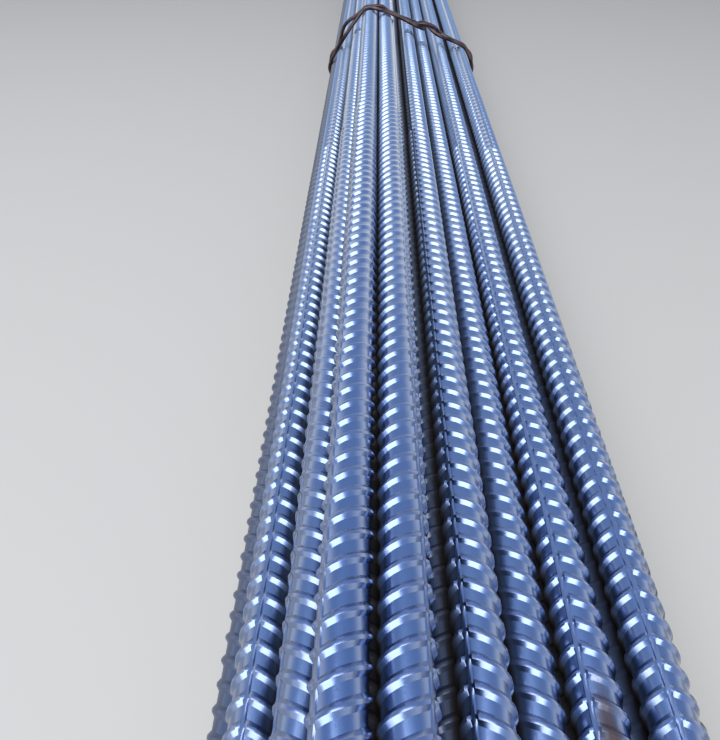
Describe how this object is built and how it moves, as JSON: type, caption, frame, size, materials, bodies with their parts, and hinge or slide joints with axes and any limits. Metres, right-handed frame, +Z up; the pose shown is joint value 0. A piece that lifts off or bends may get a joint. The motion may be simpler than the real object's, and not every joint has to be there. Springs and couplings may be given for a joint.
{
  "type": "rebar bundle",
  "caption": "Bundle of straight ribbed reinforcing bars, laid in layers and held by twisted wire ties.",
  "frame": {"origin": "on the floor under the middle of the bundle, half way between its ends", "axes": "+Y along the bars, +Z up, +X across the bundle"},
  "size_m": [0.2554, 6.028, 0.179],
  "materials": {
    "bar_steel": "hot-rolled mill scale, half gloss, with a little rust",
    "tie_wire": "dull wire rod, lightly rusted"
  },
  "bodies": {
    "root": {"bar_layer_1": "bar_steel", "bar_layer_2": "bar_steel", "bar_layer_3": "bar_steel", "bar_layer_4": "bar_steel", "bar_layer_5": "bar_steel", "bar_layer_6": "bar_steel", "bar_layer_7": "bar_steel", "tie_wire_1": "tie_wire", "tie_wire_2": "tie_wire", "tie_wire_3": "tie_wire"}
  },
  "joints": []
}
